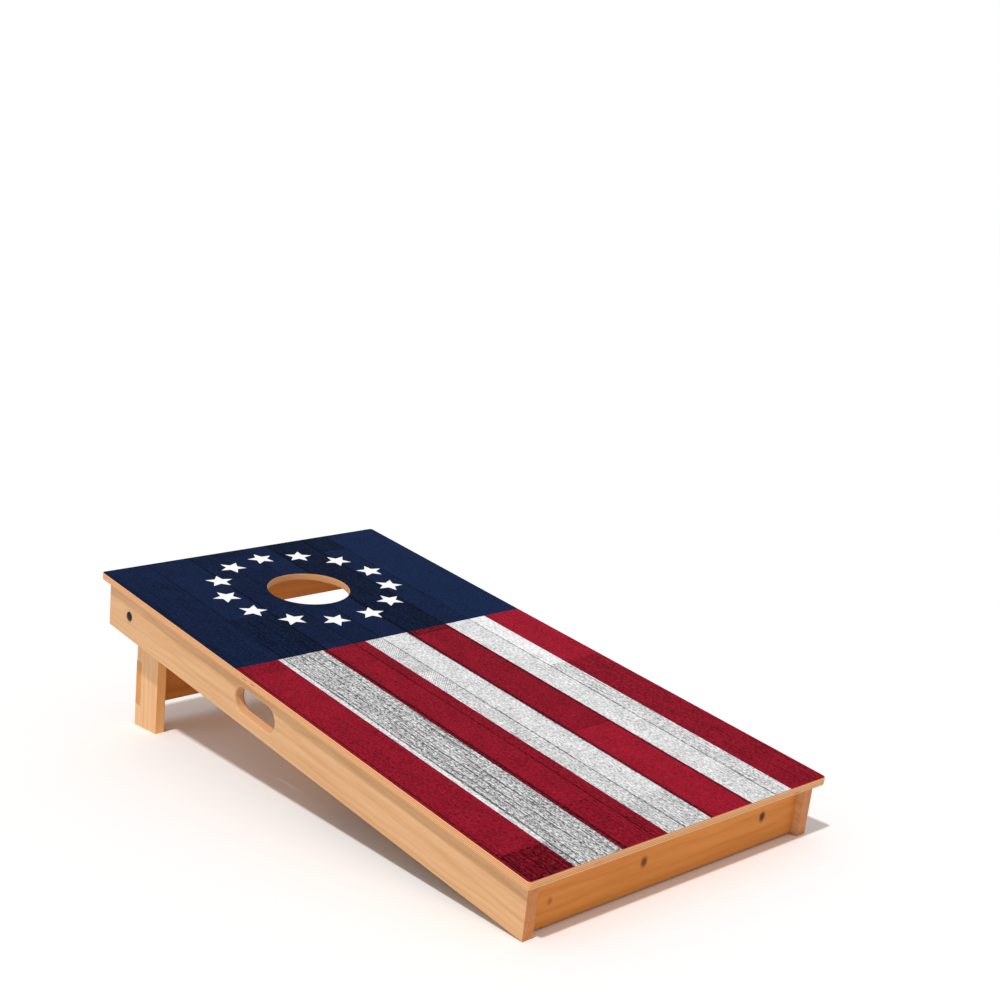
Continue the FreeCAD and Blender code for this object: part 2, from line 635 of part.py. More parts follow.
for item in doc.Objects:
    if {"Invalid", "Error"} & set(item.State):
        raise RuntimeError(f"{item.Name} failed: {item.State}")
for name, piece in pieces.items():
    piece.Label = name
    shape = piece.Shape
    if shape.isNull() or not shape.isValid() or not shape.Solids:
        raise RuntimeError(f"{name} is not a sound solid")

os.makedirs("parts", exist_ok=True)
for name, piece in pieces.items():
    piece.Shape.exportStep(f"parts/{name}.step")
    box = piece.Shape.BoundBox
    print(f"{name:20s} {len(piece.Shape.Solids):3d} solids {piece.Shape.Volume / 1000:10.2f} cm3 "
          f" X {box.XMin:8.2f} {box.XMax:8.2f}  Y {box.YMin:8.2f} {box.YMax:8.2f}"
          f"  Z {box.ZMin:7.2f} {box.ZMax:7.2f}")
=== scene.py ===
"""Cornhole board: the looks of a printed plywood deck on a pine frame with folding legs.

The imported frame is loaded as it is. Its boards keep their shape and get timber materials; the
plywood, bolts, wing nuts and screws are made again here with the detail that the frame leaves out.
"""
import json
import math

import bmesh
import bpy
from mathutils import Matrix, Vector


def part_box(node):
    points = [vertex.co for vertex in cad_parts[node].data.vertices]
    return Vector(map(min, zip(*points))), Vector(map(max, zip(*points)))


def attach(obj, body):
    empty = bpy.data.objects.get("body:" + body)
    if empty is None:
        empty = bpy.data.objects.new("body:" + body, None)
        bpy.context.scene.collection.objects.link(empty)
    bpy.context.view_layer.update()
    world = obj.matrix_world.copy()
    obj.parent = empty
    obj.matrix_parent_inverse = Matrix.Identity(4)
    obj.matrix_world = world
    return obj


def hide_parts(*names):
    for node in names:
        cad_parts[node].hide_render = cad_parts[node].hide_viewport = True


bl_info = {
    "name": "Cornhole Board",
    "version": (1, 0, 0),
    "blender": (4, 5, 0),
    "location": "View3D > Sidebar > Cornhole",
    "description": "Dresses a cornhole board: plywood, printed film, pine boards and hardware",
    "category": "Object",
}

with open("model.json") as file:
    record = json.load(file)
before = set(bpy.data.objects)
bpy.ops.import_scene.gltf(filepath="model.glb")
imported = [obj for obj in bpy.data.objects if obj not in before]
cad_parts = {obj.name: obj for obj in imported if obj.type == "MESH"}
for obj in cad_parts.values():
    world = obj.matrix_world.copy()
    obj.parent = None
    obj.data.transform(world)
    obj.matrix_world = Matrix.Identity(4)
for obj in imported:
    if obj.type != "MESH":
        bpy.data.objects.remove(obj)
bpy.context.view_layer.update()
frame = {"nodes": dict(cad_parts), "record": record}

MM = 0.001
MATH = "ShaderNodeMath"
VECTOR_MATH = "ShaderNodeVectorMath"
NOISE = "ShaderNodeTexNoise"
RAMP = "ShaderNodeValToRGB"
MIX = "ShaderNodeMix"
MAPPING = "ShaderNodeMapping"
RANGE = "ShaderNodeMapRange"


# ---------------------------------------------------------------- the deck's own layout

def reach(node, direction):
    """How far a frame node reaches along a direction, as its lowest and highest value."""
    spans = [vertex.co.dot(direction) for vertex in frame["nodes"][node].data.vertices]
    return min(spans), max(spans)


hole = next(mount for mount in frame["record"]["mounts"] if mount["name"] == "target_hole")
ACROSS = Vector((1, 0, 0))
DECK_UP = Vector(hole["axis"]).normalized()
DECK_BACK = DECK_UP.cross(ACROSS)
DECK_TILT = math.atan2(DECK_BACK.z, DECK_BACK.y)
DECK_LEFT, DECK_RIGHT = reach("deck_panel", ACROSS)
DECK_FRONT, DECK_REAR = reach("deck_panel", DECK_BACK)
DECK_UNDER, DECK_TOP = reach("deck_panel", DECK_UP)
DECK_WIDTH = DECK_RIGHT - DECK_LEFT
DECK_LENGTH = DECK_REAR - DECK_FRONT
DECK_THICKNESS = DECK_TOP - DECK_UNDER
DECK_ORIGIN = DECK_BACK * DECK_FRONT + DECK_UP * DECK_TOP
DECK_FRAME = Matrix.Translation(DECK_ORIGIN) @ Matrix.Rotation(DECK_TILT, 4, "X")
HOLE_RADIUS = hole["dims"]["r_mm"] * MM
HOLE_BACK = Vector(hole["pos_m"]).dot(DECK_BACK) - DECK_FRONT
BODY_OF = {node: body for body, nodes in frame["record"]["behaviour"]["bodies"].items()
           for node in nodes}


# ---------------------------------------------------------------- settings

def length_setting(name, description, default):
    """A setting that is a length, in metres."""
    return bpy.props.FloatProperty(name=name, description=description, default=default, unit="LENGTH")


def angle_setting(name, description, degrees):
    """A setting that is an angle."""
    return bpy.props.FloatProperty(
        name=name, description=description, default=math.radians(degrees), subtype="ANGLE")


def colour_setting(name, description, default):
    """A setting that is a colour, as sRGB hex."""
    return bpy.props.StringProperty(name=name, description=f"{description}, sRGB hex", default=default)


class CornholePrint(bpy.types.PropertyGroup):
    """The picture printed on the film."""
    stripe: length_setting("Stripe width", "Width of one inner stripe", 0.089)
    field: length_setting("Field length", "Blue field, from the raised edge", 0.476)
    ring_radius: length_setting("Star ring radius", "Ring of stars round the hole", 0.160)
    ring_back: length_setting("Star ring setback", "Ring centre from the raised edge", 0.2202)
    star_radius: length_setting("Star radius", "Centre of a star to its points", 0.0266)
    star_waist: bpy.props.FloatProperty(
        name="Star waist", description="Inner corners as a share of the star's radius",
        default=0.45, min=0.1, max=0.9)
    stars: bpy.props.IntProperty(
        name="Stars", description="Stars in the ring", default=13, min=3)
    blue: colour_setting("Blue", "Ink of the field", "#102040")
    red: colour_setting("Red", "Ink of the red stripes", "#8C1527")
    white: colour_setting("White", "Ink of the white stripes", "#DADADA")
    star_white: colour_setting("Star white", "Ink of the stars", "#F4F4F4")


class CornholeTimber(bpy.types.PropertyGroup):
    """Plywood and pine."""
    plies: bpy.props.IntProperty(
        name="Plies", description="Veneers in the plywood", default=9, min=3)
    ply_wear: length_setting(
        "Ply wear", "How unevenly the plies are sanded back at the edge", 0.00025)
    corner_radius: length_setting("Corner radius", "Rounding of the deck's corners", 0.006)
    corner_steps: bpy.props.IntProperty(
        name="Corner steps", description="Straight pieces in a corner", default=8, min=1)
    rim_steps: bpy.props.IntProperty(
        name="Rim steps", description="Straight pieces round the hole", default=144, min=12)
    pine_light: colour_setting("Pine, light", "Early wood", "#E2B384")
    pine_dark: colour_setting("Pine, dark", "Late wood", "#CE9560")
    # Front apron, centre brace and crossbar: the same pine as the rails, made darker and more orange as
    # painted shade.
    pine_painted_shade_early: colour_setting("Cross boards, light", "Early wood", "#DD8F42")
    pine_painted_shade_late: colour_setting("Cross boards, dark", "Late wood", "#C4732C")
    # Raised end's apron: brighter, more orange pine, a painted light in the shade under the deck.
    pine_painted_light_early: colour_setting("Raised end, light", "Early wood", "#EFA458")
    pine_painted_light_late: colour_setting("Raised end, dark", "Late wood", "#DE8C42")
    pine_leg_light: colour_setting("Legs, light", "Early wood", "#EFBF8E")
    pine_leg_dark: colour_setting("Legs, dark", "Late wood", "#DA9F67")
    knot: colour_setting("Knots", "Heart of a knot", "#4A2210")
    birch_light: colour_setting("Birch, light", "Veneer along the grain", "#EBB988")
    birch_dark: colour_setting("Birch, dark", "Veneer across the grain", "#D6925A")
    birch_void: colour_setting("Birch, void", "Gap in an inner ply", "#6E3A1B")


class CornholeHardware(bpy.types.PropertyGroup):
    """Bolts, nuts and screws."""
    bolt_pitch: length_setting("Bolt pitch", "Thread pitch, 18 threads an inch", 0.00141)
    bolt_shank: length_setting("Bolt shank", "Radius of the shank", 0.00397)
    bolt_dome: length_setting("Bolt head", "Height of the round head", 0.0042)
    bolt_neck: length_setting("Bolt neck", "Length of the square neck", 0.0045)
    bolt_run: length_setting("Bolt thread", "Length of the thread", 0.038)
    bolt_end: length_setting("Bolt end", "Plain taper at the tip", 0.0012)
    washer_bore: length_setting("Washer bore", "Radius of a washer's hole", 0.00415)
    nut_hub: length_setting("Nut hub", "Radius of a wing nut's hub", 0.007)
    nut_height: length_setting("Nut height", "Height of the hub", 0.009)
    nut_bore: length_setting("Nut bore", "Radius of the nut's hole", 0.00405)
    nut_wing: length_setting("Nut wing", "Half a wing's thickness", 0.00115)
    nut_voxel: length_setting("Casting detail", "Voxel size of the cast wing nuts", 0.0004)
    screw_pitch: length_setting("Screw pitch", "Coarse wood screw thread", 0.0028)
    screw_shank: length_setting("Screw shank", "Across the shank", 0.0036)
    screw_thread: length_setting("Screw thread", "Across the thread", 0.0042)
    screw_tip: length_setting("Screw tip", "Length of the point", 0.006)
    sunk_top: length_setting("Sunk head, top", "Across a countersunk head", 0.0084)
    sunk_under: length_setting("Sunk head, under", "Across its lower end", 0.0042)
    sunk_height: length_setting("Sunk head, height", "Height of the head", 0.0032)
    pan_top: length_setting("Washer head, top", "Across a washer head's top", 0.007)
    pan_under: length_setting("Washer head, under", "Across its flange", 0.009)
    pan_height: length_setting("Washer head, height", "Height of the head", 0.0025)
    screw_drive: length_setting("Drive width", "Across the square socket", 0.0026)
    screw_socket: length_setting("Drive depth", "Depth of the square socket", 0.0018)


class CornholeStudio(bpy.types.PropertyGroup):
    """Camera, lights and floor."""
    lens: bpy.props.FloatProperty(
        name="Lens", description="Focal length", default=58.09, unit="CAMERA")
    azimuth: angle_setting("Azimuth", "Direction of view, clockwise from +Y", 39.984)
    elevation: angle_setting("Elevation", "Downward slope of the view", 10.523)
    roll: angle_setting("Roll", "Turn about the line of sight", 0.196)
    place: bpy.props.FloatVectorProperty(
        name="Camera", description="Where the camera stands",
        default=(-1.6076, -2.0996, 0.9767), subtype="TRANSLATION")
    sky: bpy.props.FloatProperty(
        name="Sky", description="Strength of the light from all round", default=0.55)
    sun: bpy.props.FloatProperty(
        name="Key light", description="Strength of the shadow-casting light", default=1.9)
    softness: angle_setting("Key softness", "Angle that the key light spans", 3.5)
    key_from: bpy.props.FloatVectorProperty(
        name="Key direction", description="Where the key light comes from",
        default=(-0.41, -0.21, 0.89), subtype="DIRECTION")
    floor: colour_setting("Floor", "Floor paint", "#F9F9F9")
    floor_reach: length_setting("Floor reach", "Half the floor's width", 60)


# ---------------------------------------------------------------- nodes and materials

def linear(code):
    """A colour given as sRGB hex, in the linear values that shaders use."""
    levels = [int(code[place:place + 2], 16) / 255 for place in (1, 3, 5)]
    return (*[level / 12.92 if level <= 0.04045 else ((level + 0.055) / 1.055) ** 2.4
              for level in levels], 1.0)


def add(tree, kind, inputs=(), operation=None, stops=None, **settings):
    """Adds a node: its settings, its colour stops, and its inputs by position or by name."""
    node = tree.nodes.new(kind)
    if operation:
        node.operation = operation
    for name, value in settings.items():
        setattr(node, name, value)
    if stops:
        ramp = node.color_ramp
        ramp.interpolation = stops[0]
        for extra in stops[3:]:
            ramp.elements.new(extra[0])
        for element, (place, colour) in zip(ramp.elements, stops[1:]):
            element.position = place
            element.color = colour
    for key, value in inputs.items() if isinstance(inputs, dict) else enumerate(inputs):
        if isinstance(value, bpy.types.Node):
            value = next(output for output in value.outputs if output.enabled)
        if isinstance(value, bpy.types.NodeSocket):
            tree.links.new(value, node.inputs[key])
        else:
            node.inputs[key].default_value = value
    return node


def start_material(name, **sockets):
    """A material with a Principled shader whose even values are set on the shader itself."""
    material = bpy.data.materials.new(name)
    material.use_nodes = True
    tree = material.node_tree
    shader = tree.nodes["Principled BSDF"]
    for socket, value in sockets.items():
        shader.inputs[socket.replace("_", " ")].default_value = value
    return material, tree, shader


def deck_millimetres(tree):
    """The surface point in the deck's layout: across, back from the front edge, and up."""
    return add(tree, MAPPING, {
        "Vector": add(tree, "ShaderNodeTexCoord").outputs["Object"], "Location": DECK_ORIGIN,
        "Rotation": (DECK_TILT, 0, 0), "Scale": (MM, MM, MM)}, vector_type="TEXTURE")


def grain_noise(tree, point, spans, **inputs):
    """Noise whose lumps span the stated millimetres in each direction."""
    scaled = add(tree, VECTOR_MATH, [point, [1 / span for span in spans]], "MULTIPLY")
    return add(tree, NOISE, {"Vector": scaled, "Scale": 1.0, **inputs})


def set_surface(tree, shader, colour, sheen, rough, relief, strength, depth):
    """Joins a material's colour, its uneven roughness and its fine relief to the shader."""
    tree.links.new(colour.outputs[2], shader.inputs["Base Color"])
    uneven = add(tree, RANGE, [sheen, 0.3, 0.7, *rough])
    tree.links.new(uneven.outputs[0], shader.inputs["Roughness"])
    bump = add(tree, "ShaderNodeBump", {"Height": relief, "Strength": strength, "Distance": depth})
    tree.links.new(bump.outputs[0], shader.inputs["Normal"])


def grey(level):
    """A grey of one level, opaque."""
    return (level, level, level, 1)


# The planks of the printed picture: how far each starts from the deck's left edge and how wide
# its seam is, both in millimetres, then its boards. A board has the distance at which it starts
# below the raised edge, its brightness, its depth of weathered grain and its saw marks.
PLANKS = [
    (0.0, 0.0, [(0, 0.94, 0.1, 0)]),
    (6.5, 0.8, [(0, 0.97, 0.15, 0), (91, 0.91, 0.5, 0), (510, 1.04, 0.06, 0),
                (702, 0.98, 0.22, 0), (1145, 0.6, 1.0, 0)]),
    (92.0, 0.8, [(0, 1.0, 0.1, 0), (300, 0.72, 1.0, 0)]),
    (178.6, 1.5, [(0, 0.84, 0.35, 0), (452, 0.96, 0.1, 0), (700, 0.98, 0.14, 0),
                  (1085, 0.91, 0.4, 0)]),
    (236.4, 0.9, [(0, 0.96, 0.1, 1), (700, 0.9, 0.24, 0), (1120, 0.82, 0.4, 0)]),
    (294.8, 0.9, [(0, 1.0, 0.08, 0), (700, 0.99, 0.14, 0), (1120, 0.86, 0.4, 0)]),
    (352.0, 2.6, [(0, 0.68, 0.85, 0), (492, 0.92, 0.05, 0), (910, 1.16, 0.08, 0)]),
    (435.0, 1.4, [(0, 0.76, 0.7, 0), (74, 1.01, 0.06, 0), (645, 1.0, 0.12, 0),
                  (1120, 0.95, 0.2, 0)]),
    (491.0, 0.9, [(0, 1.2, 0.16, 0), (696, 0.93, 0.42, 0)]),
]


def plank_relief():
    """A group: the height of weathered boards, by where, how deep the grain and the saw marks."""
    group = bpy.data.node_groups.new("weathered_plank_relief", "ShaderNodeTree")
    for name, kind in (("Point", "Vector"), ("Grain", "Float"), ("Saw", "Float")):
        group.interface.new_socket(name, in_out="INPUT", socket_type=f"NodeSocket{kind}")
    group.interface.new_socket("Height", in_out="OUTPUT", socket_type="NodeSocketFloat")
    given = add(group, "NodeGroupInput")
    point, grain, saw = given.outputs[:3]
    # Ridges of weathered grain, about 6 mm apart and two hands long, that wander a little.
    wander = grain_noise(group, point, (40, 110, 1), Detail=1.0)
    bent = add(group, VECTOR_MATH, {0: wander.outputs["Color"], 1: (8, 0, 0), 2: point}, "MULTIPLY_ADD")
    ridges = grain_noise(group, bent, (6.5, 150, 1), Detail=3.0, Roughness=0.62)
    fibres = grain_noise(group, bent, (2.1, 30, 1), Detail=2.0)
    cracks = add(group, RANGE, [ridges, 0.36, 0.47, -0.5, 0.0])
    deep = add(group, MATH, [fibres, 0.4, ridges], "MULTIPLY_ADD")
    deep = add(group, MATH, [add(group, MATH, [deep, cracks], "ADD"), grain], "MULTIPLY")
    # Rough-sawn marks 3.6 mm apart, whose slant swaps from one stretch of the board to the next.
    axes = add(group, "ShaderNodeSeparateXYZ", [point])
    stretch = add(group, MATH, [axes.outputs[1], 74.0], "PINGPONG")
    slant = add(group, MATH, [axes.outputs[0], stretch], "ADD")
    marks = add(group, MATH, [add(group, MATH, [slant, math.tau / 5.1], "MULTIPLY")], "SINE")
    sawn = add(group, MATH, [add(group, MATH, [marks, 0.16], "MULTIPLY"), saw], "MULTIPLY")
    tooth = grain_noise(group, point, (2.4, 6.0, 2.4), Detail=3.0, Roughness=0.65)
    height = add(group, MATH, [tooth, 0.3, add(group, MATH, [deep, sawn], "ADD")], "MULTIPLY_ADD")
    add(group, "NodeGroupOutput", [height])
    return group


def star_mask(tree, x, y, picture):
    """White inside each star of a ring of five-pointed stars that point outwards."""
    ring_y = (DECK_LENGTH - picture.ring_back) / MM
    north = add(tree, MATH, [y, ring_y], "SUBTRACT")
    radius = add(tree, VECTOR_MATH, [add(tree, "ShaderNodeCombineXYZ", [x, north])], "LENGTH")
    angle = add(tree, MATH, [x, north], "ARCTAN2")
    sector = math.tau / picture.stars
    angle = add(tree, MATH, [add(tree, MATH, [angle, sector / 2], "ADD"), sector], "FLOORED_MODULO")
    angle = add(tree, MATH, [angle, sector / 2], "SUBTRACT")
    outward = add(tree, MATH, [radius, add(tree, MATH, [angle], "COSINE")], "MULTIPLY")
    outward = add(tree, MATH, [outward, picture.ring_radius / MM], "SUBTRACT")
    sideways = add(tree, MATH, [radius, add(tree, MATH, [angle], "SINE")], "MULTIPLY")
    far = add(tree, VECTOR_MATH, [add(tree, "ShaderNodeCombineXYZ", [sideways, outward])], "LENGTH")
    arm = math.tau / 5
    spin = add(tree, MATH, [sideways, outward], "ARCTAN2")
    spin = add(tree, MATH, [add(tree, MATH, [spin, arm / 2], "ADD"), arm], "FLOORED_MODULO")
    spin = add(tree, MATH, [add(tree, MATH, [spin, arm / 2], "SUBTRACT")], "ABSOLUTE")
    # One straight edge runs from a point of the star to its waist; `facing` is square to it.
    waist = picture.star_waist
    facing = math.atan2(1 - waist * math.cos(arm / 2), waist * math.sin(arm / 2))
    edge = picture.star_radius / MM * math.cos(facing)
    cut = add(tree, MATH, [add(tree, MATH, [spin, facing], "SUBTRACT")], "COSINE")
    cut = add(tree, MATH, [far, cut], "MULTIPLY")
    return add(tree, RANGE, [cut, edge - 0.25, edge + 0.25, 1.0, 0.0])


def printed_film(picture):
    """Matt vinyl film, digitally printed with a picture of weathered painted planks: flat and
    almost without gloss, so the eye sees the inks and the drawn grain, not reflections."""
    material, tree, shader = start_material("printed_matt_vinyl_film", Specular_IOR_Level=0.02, IOR=1.46)
    point = deck_millimetres(tree)
    x, y = add(tree, "ShaderNodeSeparateXYZ", [point]).outputs[:2]
    drift = add(tree, NOISE, {"Vector": point, "Scale": 1 / 60, "Detail": 2.0})
    across = add(tree, MATH, [drift, 1.6, x], "MULTIPLY_ADD")
    across = add(tree, MATH, [across, DECK_WIDTH / MM / 2 - 0.8], "ADD")
    down = add(tree, MATH, [DECK_LENGTH / MM, y], "SUBTRACT")

    # Each plank's own look, one colour ramp a plank: brightness, grain and saw marks.
    share = add(tree, MATH, [down, DECK_LENGTH / MM], "DIVIDE")
    look = (0, 0, 0)
    seams = 0.0
    joints = 0.0
    edges = [plank[0] for plank in PLANKS[1:]] + [2 * DECK_WIDTH / MM]
    for (left, gap, lengths), right in zip(PLANKS, edges):
        inside = add(tree, MATH, [across, (left + right) / 2, (right - left) / 2], "COMPARE")
        boards = [(start * MM / DECK_LENGTH, (*board, 1)) for start, *board in lengths]
        if len(boards) == 1:
            boards.append((1.0, boards[0][1]))
        ramp = add(tree, RAMP, [share], stops=["CONSTANT", *boards])
        look = add(tree, VECTOR_MATH, [inside, ramp, look], "MULTIPLY_ADD")
        if gap:
            away = add(tree, MATH, [add(tree, MATH, [across, left], "SUBTRACT")], "ABSOLUTE")
            seam = add(tree, RANGE, [away, gap * 0.6, gap * 2.2, 1.0, 0.0])
            seams = add(tree, MATH, [seams, seam], "MAXIMUM")
        for start, *_ in lengths[1:]:
            joint = add(tree, MATH, [down, start, 0.6], "COMPARE")
            joints = add(tree, MATH, [joint, inside, joints], "MULTIPLY_ADD")
    tone, grain, saw = add(tree, "ShaderNodeSeparateXYZ", [look]).outputs

    # The drawn relief is lit from the left, as the slope between two points of it.
    relief = plank_relief()
    here = add(tree, "ShaderNodeGroup", node_tree=relief)
    beside = add(tree, "ShaderNodeGroup", node_tree=relief)
    step = add(tree, VECTOR_MATH, [point, (1.1, 0.5, 0)], "ADD")
    for group, place in ((here, point), (beside, step)):
        tree.links.new(place.outputs[0], group.inputs["Point"])
        tree.links.new(grain, group.inputs["Grain"])
        tree.links.new(saw, group.inputs["Saw"])
    slope = add(tree, MATH, [beside, here], "SUBTRACT")
    blotch = grain_noise(tree, point, (26, 26 / 0.55, 26), Detail=5.0, Roughness=0.62)
    slope = add(tree, MATH, [add(tree, MATH, [slope, 2.4], "MULTIPLY"), 0.13], "MINIMUM")
    shade = add(tree, MATH, [slope, tone], "ADD")
    shade = add(tree, MATH, [add(tree, MATH, [blotch, 0.51], "SUBTRACT"), 0.75, shade], "MULTIPLY_ADD")
    # Worn paint, in specks of 1 mm drawn three times as coarse so that they show.
    specks = grain_noise(tree, point, (3, 3 / 0.45, 3), Detail=4.0, Roughness=0.75)
    worn = add(tree, MATH, [grain, 1.6, 2.7], "MULTIPLY_ADD")
    shade = add(tree, MATH, [add(tree, MATH, [specks, 0.52], "SUBTRACT"), worn, shade], "MULTIPLY_ADD")
    lines = add(tree, MATH, [seams, add(tree, MATH, [joints, 0.45], "MULTIPLY")], "MAXIMUM")
    shade = add(tree, MATH, [lines, -0.58, shade], "MULTIPLY_ADD")
    shade = add(tree, MATH, [shade, 0.12], "MAXIMUM")

    # Stripes from the middle out: white, red, white, red.
    count = add(tree, MATH, [add(tree, MATH, [x], "ABSOLUTE"), picture.stripe / MM], "DIVIDE")
    count = add(tree, MATH, [add(tree, MATH, [count], "ROUND"), 2.0], "FLOORED_MODULO")
    ink = add(tree, MIX, {0: count, 6: linear(picture.white), 7: linear(picture.red)}, data_type="RGBA")
    field = add(tree, MATH, [down, picture.field / MM], "LESS_THAN")
    ink = add(tree, MIX, {0: field, 6: ink, 7: linear(picture.blue)}, data_type="RGBA")
    painted = add(tree, VECTOR_MATH, [ink, shade], "MULTIPLY")
    stars = star_mask(tree, x, y, picture)
    colour = add(tree, MIX, {0: stars, 6: painted, 7: linear(picture.star_white)}, data_type="RGBA")
    sheen = add(tree, NOISE, {"Vector": point, "Scale": 1 / 5, "Detail": 3.0})
    # The film's own skin: an orange peel under 0.02 mm deep.
    peel = add(tree, NOISE, {"Vector": point, "Scale": 1 / 1.2, "Detail": 2.0})
    set_surface(tree, shader, colour, sheen, (0.50, 0.66), peel, 0.15, 0.02 * MM)
    return material


GRAIN_TURNS = {"X": (0, math.radians(-90), 0), "Y": (math.radians(90), 0, 0), "Z": (0, 0, 0)}


def planed_timber(name, light, dark, grain, pith, ends, knots=(), knot="#000000", ring=5.0,
                  end_grain_and_shade_tint=(0.9, 0.78, 0.68), edges=(), narrow_face_shade_tint=(1.12, 0.95, 0.68), flame=0.45):
    """Planed softwood board, bare: growth rings cut lengthways show as long flames, the ends as
    arcs, with hair-fine fibres that break up the sheen. `grain` is the deck axis that the board
    runs along, `pith` the rings' centre beside the board, `ends` where its two ends are and
    `edges` where its narrow faces are, if they get a painted shade of their own. The ends' tint is
    end grain, and on some boards painted shade as well."""
    material, tree, shader = start_material(name, Specular_IOR_Level=0.22, IOR=1.5)
    point = deck_millimetres(tree)
    # The board is turned so that its grain runs along Z.
    turned = add(tree, MAPPING, {"Vector": point, "Rotation": GRAIN_TURNS[grain]})
    # Slow wander of the rings along the board, up to 7 mm.
    wander = grain_noise(tree, turned, (90, 90, 420), Detail=2.0)
    swayed = add(tree, VECTOR_MATH, [wander.outputs["Color"], (22, 22, 0), turned], "MULTIPLY_ADD")
    flat = add(tree, VECTOR_MATH, [swayed, (1, 1, 0)], "MULTIPLY")
    far = add(tree, VECTOR_MATH, [flat, (*pith, 0)], "DISTANCE")
    phase = add(tree, MATH, [add(tree, MATH, [far, ring], "DIVIDE")], "FRACT")
    rings = add(tree, RAMP, [phase], stops=[
        "EASE", (0.0, grey(0.05)), (0.5, grey(0.16)), (0.82, grey(0.75)), (0.9, grey(0.82)),
        (1.0, grey(0.05))])
    fibres = grain_noise(tree, turned, (0.9, 0.9, 45), Detail=3.0, Roughness=0.65)
    streaks = grain_noise(tree, turned, (13, 13, 260), Detail=3.0)
    shade = add(tree, MATH, [rings, flame], "MULTIPLY")
    shade = add(tree, MATH, [add(tree, MATH, [fibres, 0.5], "SUBTRACT"), 0.85, shade], "MULTIPLY_ADD")
    shade = add(tree, MATH, [add(tree, MATH, [streaks, 0.42], "SUBTRACT"), 1.6, shade],
                "MULTIPLY_ADD", use_clamp=True)
    colour = add(tree, MIX, {0: shade, 6: linear(light), 7: linear(dark)}, data_type="RGBA")
    # Sawn ends look a tone browner as end grain; on the rails the tint is stronger, a painted shade,
    # and on the crossbar paler, lifting its lit end out of the painted shade. The legs' narrow faces
    # get a more orange tint, a painted shade.
    turned_axes = add(tree, "ShaderNodeSeparateXYZ", [turned]).outputs
    for axis, places, tint in ((2, ends, end_grain_and_shade_tint), (1, edges, narrow_face_shade_tint)):
        if not places:
            continue
        face = 0.0
        for level in places:
            met = add(tree, MATH, [turned_axes[axis], level, 0.35], "COMPARE")
            face = add(tree, MATH, [face, met], "MAXIMUM")
        tinted = add(tree, VECTOR_MATH, [colour, tint], "MULTIPLY")
        colour = add(tree, MIX, {0: face, 6: colour, 7: tinted}, data_type="RGBA")
    for place, size, depth in knots:
        gap = add(tree, VECTOR_MATH, [turned, place], "SUBTRACT")
        gap = add(tree, VECTOR_MATH, [gap, (1 / size, 0.3 / size, 1.4 / size)], "MULTIPLY")
        gap = add(tree, VECTOR_MATH, [gap], "LENGTH")
        gap = add(tree, MATH, [fibres, 0.6, add(tree, MATH, [gap, 0.5], "MULTIPLY")], "MULTIPLY_ADD")
        dot = add(tree, RAMP, [gap], stops=[
            "EASE", (0.62, grey(depth)), (0.8, grey(depth * 0.45)), (1.0, grey(depth * 0.15)),
            (1.0, grey(0))])
        colour = add(tree, MIX, {0: dot, 6: colour, 7: linear(knot)}, data_type="RGBA")
    relief = add(tree, MATH, [rings, 0.3, fibres], "MULTIPLY_ADD")
    set_surface(tree, shader, colour, fibres, (0.52, 0.68), relief, 0.5, 0.12 * MM)
    return material


def plated_steel(name, light, dark, roughness):
    """Steel fasteners with a thin zinc plate: a soft metal shine, cloudy where the bath left
    spangles a few millimetres across."""
    material, tree, shader = start_material(name, Metallic=1.0)
    place = add(tree, "ShaderNodeTexCoord").outputs["Object"]
    cloud = add(tree, NOISE, {"Vector": place, "Scale": 1 / (3 * MM), "Detail": 3.0})
    scratch = add(tree, NOISE, {"Vector": place, "Scale": 1 / (0.4 * MM), "Detail": 4.0})
    colour = add(tree, MIX, {0: cloud, 6: linear(light), 7: linear(dark)}, data_type="RGBA")
    set_surface(tree, shader, colour, scratch, (roughness, roughness + 0.16), scratch, 0.3, 0.02 * MM)
    return material


# Gaps in the inner plies where they come out at an edge: where each is and how far it reaches
# from its middle, in millimetres.
PLY_VOIDS = [
    ((-180.0, 0.0, -6.8), (11.0, 4.0, 0.6)),
    ((237.0, 0.0, -9.9), (9.0, 4.0, 0.6)),
    ((-304.8, 690.0, -6.1), (4.0, 8.0, 0.6)),
    ((-304.8, 715.0, -6.8), (4.0, 9.0, 0.6)),
    ((-304.8, 737.0, -7.6), (4.0, 6.0, 0.6)),
    ((304.8, 410.0, -6.4), (4.0, 10.0, 0.6)),
    ((95.0, 1219.2, -5.1), (12.0, 4.0, 0.6)),
]


def veneer(name, light, dark, void, across):
    """Rotary-cut birch veneer seen at a sawn edge: fine short fibres, with the darker plies
    turned end on, so they show pores instead of lines."""
    material, tree, shader = start_material(name, Specular_IOR_Level=0.2, IOR=1.5)
    point = deck_millimetres(tree)
    spans = (3, 3, 0.4) if across else (50, 50, 0.35)
    fibres = grain_noise(tree, point, spans, Detail=3.0, Roughness=0.6)
    patches = add(tree, NOISE, {"Vector": point, "Scale": 1 / 70, "Detail": 2.0})
    mixed = add(tree, MATH, [fibres, 0.45], "SUBTRACT")
    mixed = add(tree, MATH, [patches, 0.8, mixed], "MULTIPLY_ADD", use_clamp=True)
    colour = add(tree, MIX, {0: mixed, 6: linear(light), 7: linear(dark)}, data_type="RGBA")
    voids = 0.0
    for place, spread in PLY_VOIDS:
        gap = add(tree, VECTOR_MATH, [point, place], "SUBTRACT")
        gap = add(tree, VECTOR_MATH, [gap, spread], "DIVIDE")
        gap = add(tree, VECTOR_MATH, [gap], "LENGTH")
        gap = add(tree, RANGE, [gap, 0.6, 1.0, 0.85, 0.0])
        voids = add(tree, MATH, [voids, gap], "MAXIMUM")
    colour = add(tree, MIX, {0: voids, 6: colour, 7: linear(void)}, data_type="RGBA")
    set_surface(tree, shader, colour, fibres, (0.55, 0.7), fibres, 0.4, 0.1 * MM)
    return material


# ---------------------------------------------------------------- making pieces

